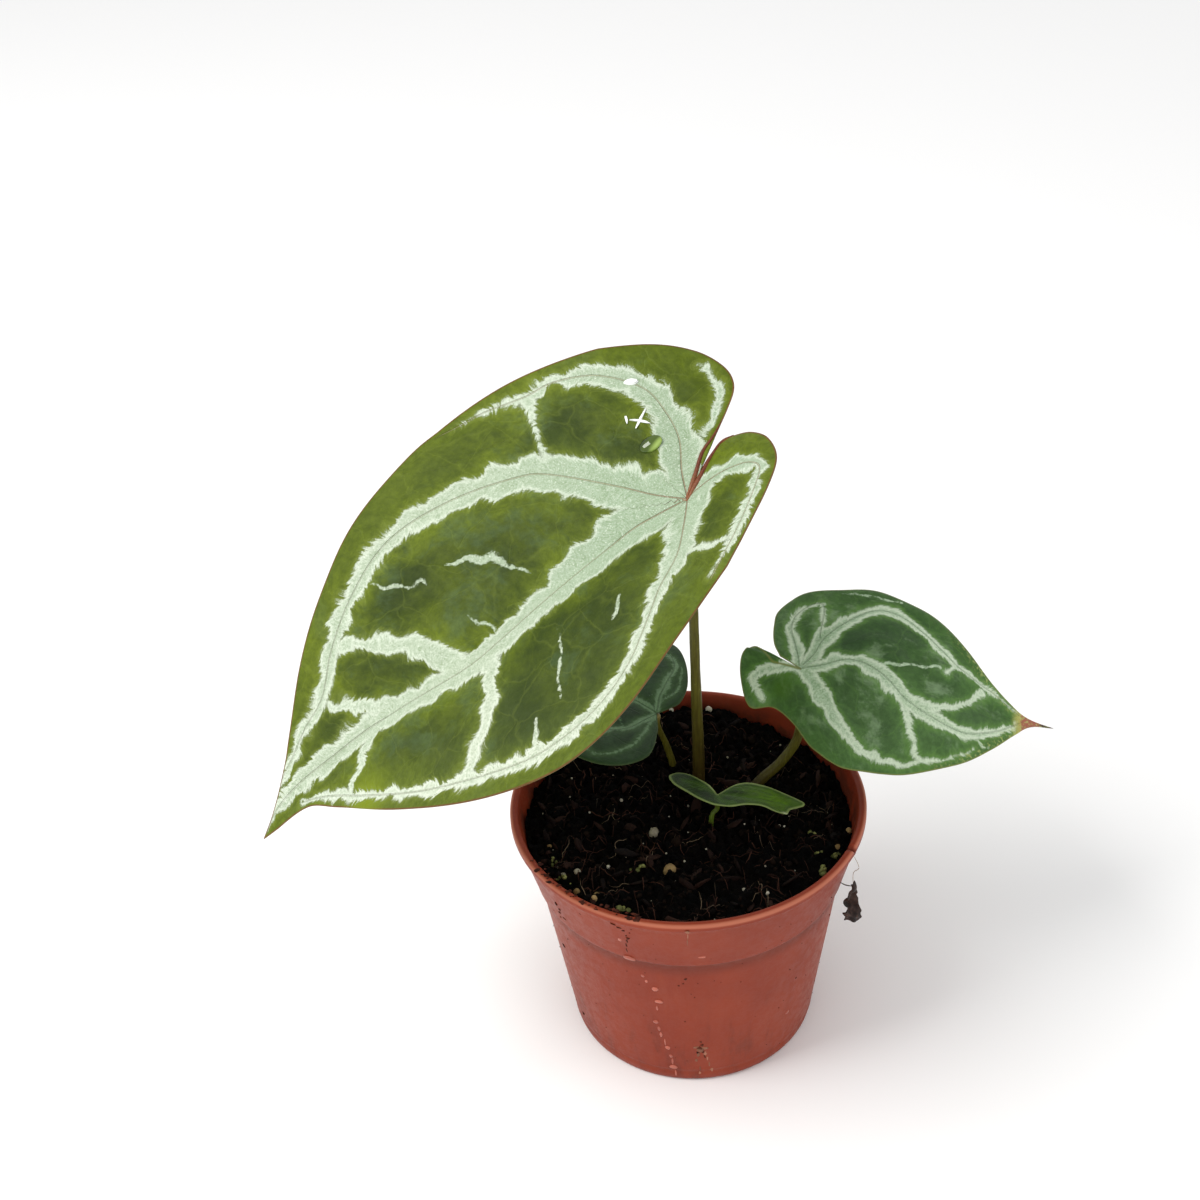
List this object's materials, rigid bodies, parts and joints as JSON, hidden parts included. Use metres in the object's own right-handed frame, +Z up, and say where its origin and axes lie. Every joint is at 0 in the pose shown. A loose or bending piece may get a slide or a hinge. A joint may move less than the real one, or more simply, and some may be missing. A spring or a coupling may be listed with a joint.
{
  "type": "potted foliage plant",
  "caption": "Young anthurium with heart-shaped silver-veined leaves on upright stalks, standing in a round plastic nursery pot of dark potting mix.",
  "frame": {"origin": "middle of the pot's flat base, where the plant stands", "axes": "+Z up out of the pot, -Y towards the front, +X to the right of the front; the large leaf hangs towards -X"},
  "size_m": [0.1955, 0.1081, 0.1767],
  "materials": {
    "pot": "satin terracotta-coloured plastic, slightly dusty",
    "soil": "loose dark peat and bark mix with coir fibres and pale grains",
    "large_leaf_blade": "olive green leaf with silvery feathered bands along the veins, soft sheen",
    "small_leaf_blade": "dark green leaf with grey-green bands along the veins, soft sheen",
    "leaf_stalk": "smooth olive green stalk",
    "dried_leaf": "dull brown dried leaf"
  },
  "bodies": {
    "root": {"pot": "pot", "soil": "soil", "large_leaf_blade": "large_leaf_blade", "large_leaf_stalk": "leaf_stalk", "right_leaf_blade": "small_leaf_blade", "right_leaf_stalk": "leaf_stalk", "back_leaf_blade": "small_leaf_blade", "back_leaf_stalk": "leaf_stalk", "front_leaf_blade": "small_leaf_blade", "front_leaf_stalk": "leaf_stalk", "dried_leaf_scrap": "dried_leaf"}
  },
  "joints": []
}
